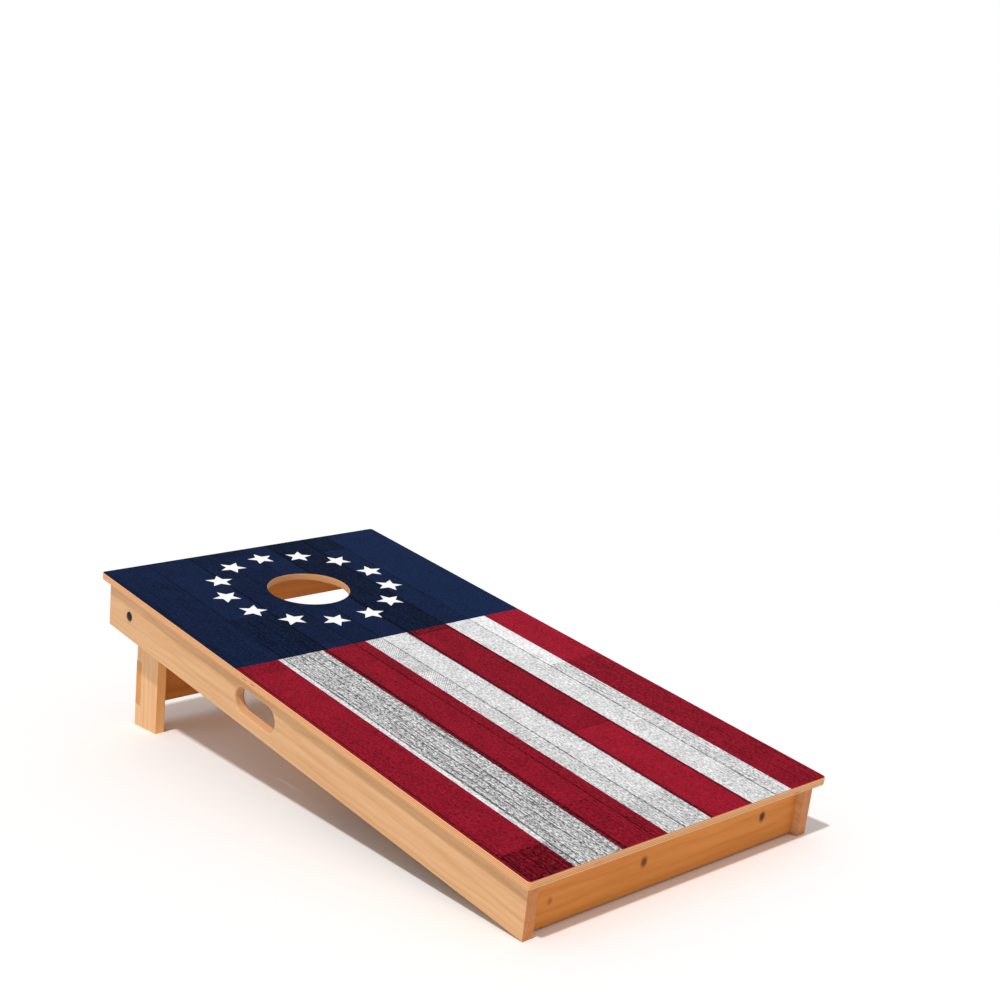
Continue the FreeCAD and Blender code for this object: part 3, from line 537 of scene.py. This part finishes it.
def finish_piece(name, mesh, materials, stands_for, smooth=False):
    """A plain mesh piece, in the frame's metres, in the place of the frame nodes it stands for."""
    bmesh.ops.recalc_face_normals(mesh, faces=mesh.faces)
    for face in mesh.faces:
        face.smooth = smooth
    data = bpy.data.meshes.new(name)
    mesh.to_mesh(data)
    mesh.free()
    if smooth:
        data.set_sharp_from_angle(angle=SHARP_ANGLE)
    for material in materials:
        data.materials.append(material)
    piece = bpy.data.objects.new(name, data)
    bpy.context.scene.collection.objects.link(piece)
    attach(piece, BODY_OF[stands_for[0]])
    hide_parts(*stands_for)
    return piece


def paint(node, material):
    """Gives a frame node its material, without touching its shape."""
    data = frame["nodes"][node].data
    data.materials.clear()
    data.materials.append(material)


def lathe(mesh, profile, steps, closed=False, pitch=1.0, groove=0.12):
    """Turns a profile of (form, radius, height) round Z. A form is round, square or thread, and
    a thread's groove is as deep as the stated share of its radius."""
    rings = []
    for form, radius, height in profile:
        ring = []
        for step in range(steps):
            angle = math.tau * step / steps
            out = radius
            if form == "square":
                out /= max(abs(math.cos(angle)), abs(math.sin(angle)))
            if form == "thread":
                climb = (height / pitch - step / steps) % 1
                out *= 1 - groove * abs(2 * climb - 1)
            ring.append(mesh.verts.new((out * math.cos(angle), out * math.sin(angle), height)))
        rings.append(ring)
    if closed:
        rings.append(rings[0])
    else:
        mesh.faces.new(reversed(rings[0]))
        mesh.faces.new(rings[-1])
    for low, high in zip(rings, rings[1:]):
        for place in range(steps):
            after = (place + 1) % steps
            mesh.faces.new((low[place], low[after], high[after], high[place]))


def stand_on(node, side):
    """The place of a piece on a pivot: Z runs in from the outer end of a node, X up the deck."""
    low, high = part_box(node)
    centre = (low + high) / 2
    centre.x = high.x if side > 0 else low.x
    inward = Vector((-side, 0, 0))
    axes = Matrix((DECK_UP, inward.cross(DECK_UP), inward)).transposed().to_4x4()
    return Matrix.Translation(centre) @ axes


def along(start, end, step):
    """Even places from a start to an end, about a step apart."""
    count = max(2, round(abs(end - start) / step) + 1)
    return [start + (end - start) * place / (count - 1) for place in range(count)]


def solids(node):
    """The points of each separate solid of a frame node, from a copy with its corners merged."""
    mesh = bmesh.new()
    mesh.from_mesh(frame["nodes"][node].data)
    bmesh.ops.remove_doubles(mesh, verts=mesh.verts, dist=0.01 * MM)
    mesh.verts.index_update()
    seen = set()
    found = []
    for first in mesh.verts:
        if first.index in seen:
            continue
        seen.add(first.index)
        group = [first]
        for vertex in group:
            for edge in vertex.link_edges:
                other = edge.other_vert(vertex)
                if other.index not in seen:
                    seen.add(other.index)
                    group.append(other)
        found.append([vertex.co.copy() for vertex in group])
    mesh.free()
    return found


# ---------------------------------------------------------------- the pieces

SIDES = {"left": -1, "right": 1}
# The radius that is left at a screw's point, and how much of its shank is threaded.
SCREW_POINT = 0.3 * MM
THREADED_SHARE = 0.8
# Points beyond this share of the greatest distance from a screw's middle ring one of its ends.
END_RING_SHARE = 0.9
# Edges of turned metal that are sharper than this are drawn as edges.
SHARP_ANGLE = math.radians(35)
# The wing nut's outline, from hub to thumb and back, as shares of its reach and its height.
WING = [(0.28, 0.10), (0.44, 0.10), (0.66, 0.24), (0.88, 0.50), (1.0, 0.74), (1.0, 0.90),
        (0.93, 1.0), (0.80, 0.99), (0.68, 0.86), (0.55, 0.70), (0.42, 0.62), (0.28, 0.62)]


class CORNHOLE_OT_deck(bpy.types.Operator):
    """The plywood deck, its plies sanded back unevenly at every edge, under the printed film"""
    bl_idname = "cornhole.deck"
    bl_label = "Deck and film"

    def execute(self, context):
        timber = context.scene.cornhole_timber
        light, dark = [
            veneer(f"birch_veneer_{course}_grain", tone, tone, timber.birch_void, course == "across")
            for course, tone in (("along", timber.birch_light), ("across", timber.birch_dark))]
        face = planed_timber(
            "sanded_birch_face_veneer", timber.birch_light, timber.birch_dark, "Y",
            (120.0, 60.0), (), ring=9.0)
        outline = self.rounded_outline(timber.corner_radius, timber.corner_steps)
        turns = [math.tau * step / timber.rim_steps for step in range(timber.rim_steps)]
        rim = [(HOLE_RADIUS * math.cos(turn), HOLE_BACK + HOLE_RADIUS * math.sin(turn))
               for turn in turns]
        mesh = bmesh.new()
        outer = self.wall(mesh, outline, timber, inwards=1)
        inner = self.wall(mesh, rim, timber, inwards=-1)
        for place in (0, -1):
            loops = [edge for ring in (outer[place], inner[place]) for edge in ring]
            filled = bmesh.ops.triangle_fill(mesh, edges=loops, use_beauty=True)
            for made in filled["geom"]:
                if isinstance(made, bmesh.types.BMFace):
                    made.material_index = 2
        mesh.transform(DECK_FRAME)
        finish_piece("plywood_deck", mesh, [light, dark, face], ["deck_panel"])
        paint("deck_wrap", printed_film(context.scene.cornhole_print))
        return {"FINISHED"}

    def rounded_outline(self, radius, steps):
        """The deck's edge as points anticlockwise, seen from above, from its right back corner."""
        half = DECK_WIDTH / 2 - radius
        centres = [(half, DECK_LENGTH - radius, 0), (-half, DECK_LENGTH - radius, 90),
                   (-half, radius, 180), (half, radius, 270)]
        points = []
        for x, y, turn in centres:
            for step in range(steps + 1):
                angle = math.radians(turn + 90 * step / steps)
                points.append((x + radius * math.cos(angle), y + radius * math.sin(angle)))
        return points

    def wall(self, mesh, outline, timber, inwards):
        """A sawn edge, ply by ply, each with its own wear. Returns the edges of each ring."""
        ply = DECK_THICKNESS / timber.plies
        rings = []
        for layer in range(timber.plies):
            wear = timber.ply_wear * (0.5 + 0.5 * math.sin(2.4 * layer + inwards))
            if layer in (0, timber.plies - 1):
                wear = timber.ply_wear * 2
            for share in (0, 1):
                height = -DECK_THICKNESS + ply * (layer + share)
                ring = []
                for place, (x, y) in enumerate(outline):
                    before = Vector(outline[place - 1])
                    after = Vector(outline[(place + 1) % len(outline)])
                    course = (after - before).normalized()
                    into = Vector((-course.y, course.x)) * inwards
                    ring.append(mesh.verts.new((*(Vector((x, y)) + into * wear), height)))
                rings.append((layer, ring))
        edges = []
        for (layer, low), (above, high) in zip(rings, rings[1:]):
            for place in range(len(low)):
                after = (place + 1) % len(low)
                face = mesh.faces.new((low[place], low[after], high[after], high[place]))
                turned = abs(low[after].co.x - low[place].co.x) > abs(low[after].co.y - low[place].co.y)
                face.material_index = (layer + turned) % 2 if layer == above else 0
        for layer, ring in rings:
            edges.append([mesh.edges.get((ring[place], ring[place - 1])) for place in range(len(ring))])
        return edges


class CORNHOLE_OT_boards(bpy.types.Operator):
    """Planed pine for the rails, aprons, brace, blocks, legs and crossbar"""
    bl_idname = "cornhole.boards"
    bl_label = "Pine boards"

    def execute(self, context):
        timber = context.scene.cornhole_timber
        pale = {"light": timber.pine_light, "dark": timber.pine_dark}
        # Painted shade: the boards under the deck's front and between the legs get darker, more orange
        # pine.
        painted_shade_pine = {"light": timber.pine_painted_shade_early, "dark": timber.pine_painted_shade_late, "flame": 0.3}
        # Painted light: the raised end's apron gets brighter pine than the shade under the deck would
        # give.
        inner = {"light": timber.pine_painted_light_early, "dark": timber.pine_painted_light_late}
        # The rails' ends: browner as end grain, and browner still as painted shade.
        end_grain_and_shade = {"end_grain_and_shade_tint": (0.82, 0.56, 0.4)}
        clear = {"light": timber.pine_leg_light, "dark": timber.pine_leg_dark}
        boards = {
            "left_side_rail": ("Y", (-215.0, 62.0), end_grain_and_shade),
            "right_side_rail": ("Y", (350.0, 40.0), end_grain_and_shade),
            "front_apron": ("X", (70.0, 110.0), {**painted_shade_pine, "knot": timber.knot, "knots": [
                ((55.0, 25.4, -58.0), 8.0, 0.8), ((52.0, 25.4, 195.0), 8.0, 0.95),
                ((62.0, 25.4, -237.0), 6.0, 0.4)]}),
            "back_apron": ("X", (30.0, 1290.0), inner),
            "center_brace": ("X", (62.0, 690.0), painted_shade_pine),
            "left_pivot_block": ("Y", (-180.0, 40.0), {}),
            "right_pivot_block": ("Y", (330.0, 70.0), {}),
            "left_leg": ("Z", (-190.0, 1120.0), clear),
            "right_leg": ("Z", (310.0, 1150.0), clear),
            # The crossbar's end shows on the lit outer face of the leg: its paler tint lifts it back out
            # of the painted shade.
            "leg_crossbar": ("X", (215.0, 1080.0), {**painted_shade_pine, "end_grain_and_shade_tint": (1.0, 1.25, 2.0)}),
        }
        for node, (grain, pith, more) in boards.items():
            direction = {"X": ACROSS, "Y": DECK_BACK, "Z": DECK_UP}[grain]
            ends = self.in_deck_millimetres(node, direction)
            # Painted shade: only the legs' narrow faces get the more orange tint.
            edges = self.in_deck_millimetres(node, DECK_BACK) if more is clear else ()
            paint(node, planed_timber(f"planed_pine_{node}", grain=grain, pith=pith, ends=ends,
                                      edges=edges, **{**pale, **more}))
        return {"FINISHED"}

    def in_deck_millimetres(self, node, direction):
        """Where a node's two sides lie along one direction of the deck."""
        return [(side - DECK_ORIGIN.dot(direction)) / MM for side in reach(node, direction)]


class CORNHOLE_OT_pivots(bpy.types.Operator):
    """Carriage bolts with their threads, stamped washers and cast wing nuts"""
    bl_idname = "cornhole.pivots"
    bl_label = "Bolts, washers and wing nuts"

    def execute(self, context):
        hardware = context.scene.cornhole_hardware
        dark = plated_steel("black_zinc_plated_steel", "#3A3D49", "#22242C", 0.3)
        bright = plated_steel("bright_zinc_plated_steel", "#C9CCD0", "#A9ADB3", 0.26)
        cast = plated_steel("zinc_plated_cast_steel", "#BDC0C4", "#989CA2", 0.36)
        for side, sign in SIDES.items():
            self.bolt(f"{side}_pivot_bolt", sign, dark, hardware)
            for place in ("block", "nut"):
                self.washer(f"{side}_{place}_washer", sign, bright, hardware.washer_bore)
            self.wing_nut(f"{side}_wing_nut", sign, cast, hardware)
        return {"FINISHED"}

    def bolt(self, node, sign, material, hardware):
        low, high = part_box(node)
        whole = high.x - low.x
        head = (high.z - low.z) / 2
        shank = hardware.bolt_shank
        rise = hardware.bolt_dome
        neck = rise + hardware.bolt_neck
        # A flat dome with a rolled rim, a square neck, then the shank down to its thread.
        rows = [("round", head * math.sin(turn), rise * (1 - math.cos(turn)) * 0.88)
                for turn in along(0.12, math.pi / 2, 0.13)]
        rows += [("round", head * 0.985, rise * 0.96), ("round", head * 0.94, rise),
                 ("square", shank, rise), ("square", shank, neck),
                 ("round", shank, neck + 0.1 * MM)]
        start = whole - hardware.bolt_run
        rows += [("round", shank, start)]
        rows += [("thread", shank, height) for height in along(
            start, whole - hardware.bolt_end, hardware.bolt_pitch / 8)]
        rows += [("round", shank * 0.75, whole)]
        mesh = bmesh.new()
        lathe(mesh, rows, 48, pitch=hardware.bolt_pitch)
        mesh.transform(stand_on(node, sign))
        finish_piece(f"{node}_threaded", mesh, [material], [node], smooth=True)

    def washer(self, node, sign, material, bore):
        low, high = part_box(node)
        thick = high.x - low.x
        out = (high.z - low.z) / 2
        # Stamping rounds the corners by a fifth of the thickness.
        ease = thick * 0.2
        rows = [("round", bore, ease), ("round", bore + ease, 0), ("round", out - ease, 0),
                ("round", out - ease * 0.3, ease * 0.3), ("round", out, ease),
                ("round", out, thick - ease * 0.3), ("round", out - ease * 0.3, thick),
                ("round", bore, thick)]
        mesh = bmesh.new()
        lathe(mesh, rows, 64, closed=True)
        mesh.transform(stand_on(node, sign))
        finish_piece(f"{node}_stamped", mesh, [material], [node], smooth=True)

    def wing_nut(self, node, sign, material, hardware):
        low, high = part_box(node)
        height = high.x - low.x
        spans = [reach(node, direction) for direction in (DECK_UP, DECK_BACK)]
        wide = max(end - start for start, end in spans) / 2
        hub = hardware.nut_hub
        tall = hardware.nut_height
        bore = hardware.nut_bore
        mesh = bmesh.new()
        rows = [("round", bore, 0), ("round", hub * 0.94, 0), ("round", hub, hub * 0.1),
                ("round", hub * 0.9, tall * 0.72), ("round", hub * 0.8, tall),
                ("round", bore, tall)]
        lathe(mesh, rows, 48, closed=True)
        for hand in SIDES.values():
            faces = []
            for depth in (-hardware.nut_wing, hardware.nut_wing):
                loop = [mesh.verts.new((hand * x * wide, depth, z * height)) for x, z in WING]
                faces.append(loop)
                mesh.faces.new(loop)
            for place in range(len(WING)):
                mesh.faces.new((faces[0][place], faces[0][place - 1], faces[1][place - 1],
                                faces[1][place]))
        mesh.transform(stand_on(node, sign))
        piece = finish_piece(f"{node}_cast", mesh, [material], [node])
        melt = piece.modifiers.new("melt", "REMESH")
        melt.mode = "VOXEL"
        melt.voxel_size = hardware.nut_voxel
        melt.use_smooth_shade = True
        soften = piece.modifiers.new("soften", "SMOOTH")
        soften.iterations = 6
        settle(piece)


def settle(piece):
    """Bakes a piece's modifiers into its mesh."""
    ready = piece.evaluated_get(bpy.context.evaluated_depsgraph_get())
    data = bpy.data.meshes.new_from_object(ready)
    piece.modifiers.clear()
    piece.data = data


class CORNHOLE_OT_screws(bpy.types.Operator):
    """Square-drive wood screws, set by a node tree on the axes of the frame's screws"""
    bl_idname = "cornhole.screws"
    bl_label = "Screws"

    def execute(self, context):
        hardware = context.scene.cornhole_hardware
        yellow = plated_steel("yellow_zinc_plated_steel", "#C9A95A", "#A8863C", 0.3)
        tree = self.screw_tree(yellow)
        heads = {"deck_screws": "sunk", "apron_screws": "pan", "brace_screws": "pan",
                 "block_screws": "sunk", "crossbar_screws": "sunk"}
        for node, head in heads.items():
            sizes = {name: getattr(hardware, f"screw_{name.lower()}")
                     for name in ("Pitch", "Shank", "Thread", "Tip", "Drive", "Socket")}
            sizes |= {name: getattr(hardware, f"{head}_{name.lower()}")
                      for name in ("Top", "Under", "Height")}
            self.drive_in(node, tree, sizes)
        return {"FINISHED"}

    def drive_in(self, node, tree, sizes):
        """Points on the heads of a node's screws, each with the way it heads, then the tree."""
        heads, ways, length = [], [], 0
        for points in solids(node):
            middle = sum(points, Vector()) / len(points)
            # The points farthest from the middle ring one end, so their centre is on the axis.
            far = max((point - middle).length for point in points)
            ring = [point for point in points if (point - middle).length > END_RING_SHARE * far]
            axis = (sum(ring, Vector()) / len(ring) - middle).normalized()
            # The widest part is the head.
            widest = max(points, key=lambda point: (point - middle).cross(axis).length)
            if (widest - middle).dot(axis) < 0:
                axis = -axis
            spans = [(point - middle).dot(axis) for point in points]
            heads.append(middle + axis * max(spans))
            ways.append(axis)
            length = max(length, max(spans) - min(spans))
        data = bpy.data.meshes.new(f"{node}_heads")
        data.from_pydata([tuple(head) for head in heads], [], [])
        way = data.attributes.new("way", "FLOAT_VECTOR", "POINT")
        for place, axis in enumerate(ways):
            way.data[place].vector = axis
        piece = bpy.data.objects.new(f"{node}_square_drive", data)
        bpy.context.scene.collection.objects.link(piece)
        grow = piece.modifiers.new("screws", "NODES")
        grow.node_group = tree
        for socket in tree.interface.items_tree:
            if socket.name in sizes:
                grow[socket.identifier] = sizes[socket.name]
            if socket.name == "Length":
                grow[socket.identifier] = length
        settle(piece)
        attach(piece, BODY_OF[node])
        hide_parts(node)

    def screw_tree(self, finish):
        """The tree that makes one screw, head up at the origin, and sets it on every point."""
        tree = bpy.data.node_groups.new("square_drive_screws", "GeometryNodeTree")
        face = tree.interface
        face.new_socket("Geometry", in_out="OUTPUT", socket_type="NodeSocketGeometry")
        face.new_socket("Geometry", in_out="INPUT", socket_type="NodeSocketGeometry")
        for name in ("Length", "Top", "Under", "Height", "Shank", "Thread", "Tip", "Pitch",
                     "Drive", "Socket"):
            face.new_socket(name, in_out="INPUT", socket_type="NodeSocketFloat")
        given = add(tree, "NodeGroupInput").outputs
        half = {name: add(tree, MATH, [given[name], 0.5], "MULTIPLY")
                for name in ("Top", "Under", "Shank", "Thread")}
        down = {name: add(tree, MATH, [given[name], -1.0], "MULTIPLY") for name in ("Height", "Length")}
        straight = add(tree, MATH, [given["Length"], given["Tip"]], "SUBTRACT")
        lowered = add(tree, MATH, [straight, -1.0], "MULTIPLY")

        def cone(top, bottom, depth, level):
            made = add(tree, "GeometryNodeMeshCone", {
                "Vertices": 16, "Radius Top": top, "Radius Bottom": bottom, "Depth": depth})
            return add(tree, "GeometryNodeTransform", {
                "Geometry": made.outputs["Mesh"],
                "Translation": add(tree, "ShaderNodeCombineXYZ", {"Z": level})})

        head = cone(half["Top"], half["Under"], given["Height"], down["Height"])
        stem = add(tree, MATH, [straight, given["Height"]], "SUBTRACT")
        shank = cone(half["Shank"], half["Shank"], stem, lowered)
        point = cone(half["Shank"], SCREW_POINT, given["Tip"], down["Length"])
        deep = add(tree, MATH, [given["Socket"], 2.0], "MULTIPLY")
        punch = add(tree, "ShaderNodeCombineXYZ", [given["Drive"], given["Drive"], deep])
        socket = add(tree, "GeometryNodeMeshCube", {"Size": punch})
        socketed = add(tree, "GeometryNodeMeshBoolean", {
            "Mesh 1": head, "Mesh 2": socket.outputs["Mesh"]}, "DIFFERENCE", solver="EXACT")
        run = add(tree, MATH, [stem, THREADED_SHARE], "MULTIPLY")
        spiral = add(tree, "GeometryNodeCurveSpiral", {
            "Resolution": 14, "Rotations": add(tree, MATH, [run, given["Pitch"]], "DIVIDE"),
            "Start Radius": half["Shank"], "End Radius": half["Shank"], "Height": run})
        level = add(tree, "ShaderNodeCombineXYZ", {"Z": lowered})
        spiral = add(tree, "GeometryNodeTransform", {"Geometry": spiral, "Translation": level})
        depth = add(tree, MATH, [half["Thread"], half["Shank"]], "SUBTRACT")
        ridge = add(tree, "GeometryNodeCurvePrimitiveCircle", {
            "Resolution": 3, "Radius": depth}, mode="RADIUS")
        thread = add(tree, "GeometryNodeCurveToMesh", {
            "Curve": spiral, "Profile Curve": ridge.outputs["Curve"], "Fill Caps": True})
        joined = add(tree, "GeometryNodeJoinGeometry")
        for part in (socketed, shank, point, thread):
            tree.links.new(part.outputs[0], joined.inputs[0])
        way = add(tree, "GeometryNodeInputNamedAttribute", {"Name": "way"}, data_type="FLOAT_VECTOR")
        aim = add(tree, "FunctionNodeAlignRotationToVector", {"Vector": way}, axis="Z")
        twist = add(tree, "FunctionNodeRandomValue", {"Min": 0.0, "Max": math.tau, "Seed": 5},
                    data_type="FLOAT")
        spin = add(tree, "FunctionNodeAxisAngleToRotation", {"Axis": (0, 0, 1), "Angle": twist})
        twisted = add(tree, "FunctionNodeRotateRotation", {
            "Rotation": aim, "Rotate By": spin}, rotation_space="LOCAL")
        placed = add(tree, "GeometryNodeInstanceOnPoints", {
            "Points": given["Geometry"], "Instance": joined, "Rotation": twisted})
        real = add(tree, "GeometryNodeRealizeInstances", {"Geometry": placed})
        painted = add(tree, "GeometryNodeSetMaterial", {"Geometry": real, "Material": finish})
        add(tree, "NodeGroupOutput", [painted])
        return tree


class CORNHOLE_OT_stage(bpy.types.Operator):
    """Camera, floor and soft studio light"""
    bl_idname = "cornhole.stage"
    bl_label = "Stage"

    def execute(self, context):
        scene = context.scene
        studio = scene.cornhole_studio
        scene.view_settings.view_transform = "Standard"
        lens = bpy.data.cameras.new("camera")
        lens.lens = studio.lens
        camera = bpy.data.objects.new("camera", lens)
        camera.matrix_world = (
            Matrix.Translation(studio.place) @ Matrix.Rotation(-studio.azimuth, 4, "Z")
            @ Matrix.Rotation(math.pi / 2 - studio.elevation, 4, "X")
            @ Matrix.Rotation(-studio.roll, 4, "Z"))
        scene.collection.objects.link(camera)
        scene.camera = camera

        mesh = bmesh.new()
        bmesh.ops.create_grid(mesh, x_segments=1, y_segments=1, size=studio.floor_reach)
        data = bpy.data.meshes.new("floor")
        mesh.to_mesh(data)
        mesh.free()
        paper, _, shader = start_material(
            "matt_white_studio_paper", Roughness=0.9, Specular_IOR_Level=0.1)
        shader.inputs["Base Color"].default_value = linear(studio.floor)
        data.materials.append(paper)
        floor = bpy.data.objects.new("floor", data)
        scene.collection.objects.link(floor)

        world = bpy.data.worlds.new("studio")
        world.use_nodes = True
        scene.world = world
        sky = world.node_tree
        background = sky.nodes["Background"]
        background.inputs["Color"].default_value = linear("#FFFFFF")
        seen = add(sky, "ShaderNodeLightPath").outputs["Is Camera Ray"]
        level = add(sky, RANGE, [seen, 0.0, 1.0, studio.sky, 1.0])
        sky.links.new(level.outputs[0], background.inputs["Strength"])

        key = bpy.data.lights.new("key", "SUN")
        key.energy = studio.sun
        key.angle = studio.softness
        lamp = bpy.data.objects.new("key", key)
        lamp.rotation_euler = Vector(studio.key_from).to_track_quat("Z", "Y").to_euler()
        scene.collection.objects.link(lamp)
        return {"FINISHED"}


class CORNHOLE_PT_panel(bpy.types.Panel):
    """Lists the cornhole board's pieces"""
    bl_idname = "CORNHOLE_PT_panel"
    bl_label = "Cornhole Board"
    bl_space_type = "VIEW_3D"
    bl_region_type = "UI"
    bl_category = "Cornhole"

    def draw(self, context):
        for step in STEPS:
            self.layout.operator(step.bl_idname)


GROUPS = {
    "cornhole_print": CornholePrint,
    "cornhole_timber": CornholeTimber,
    "cornhole_hardware": CornholeHardware,
    "cornhole_studio": CornholeStudio,
}
STEPS = [CORNHOLE_OT_deck, CORNHOLE_OT_boards, CORNHOLE_OT_pivots, CORNHOLE_OT_screws,
         CORNHOLE_OT_stage]


def register():
    for kind in (*GROUPS.values(), *STEPS, CORNHOLE_PT_panel):
        bpy.utils.register_class(kind)
    for name, group in GROUPS.items():
        setattr(bpy.types.Scene, name, bpy.props.PointerProperty(type=group))


def unregister():
    for name in GROUPS:
        delattr(bpy.types.Scene, name)
    for kind in (CORNHOLE_PT_panel, *reversed(STEPS), *GROUPS.values()):
        bpy.utils.unregister_class(kind)


def main():
    register()
    for step in STEPS:
        getattr(bpy.ops.cornhole, step.bl_idname.split(".")[1])()


if __name__ == "__main__":
    main()
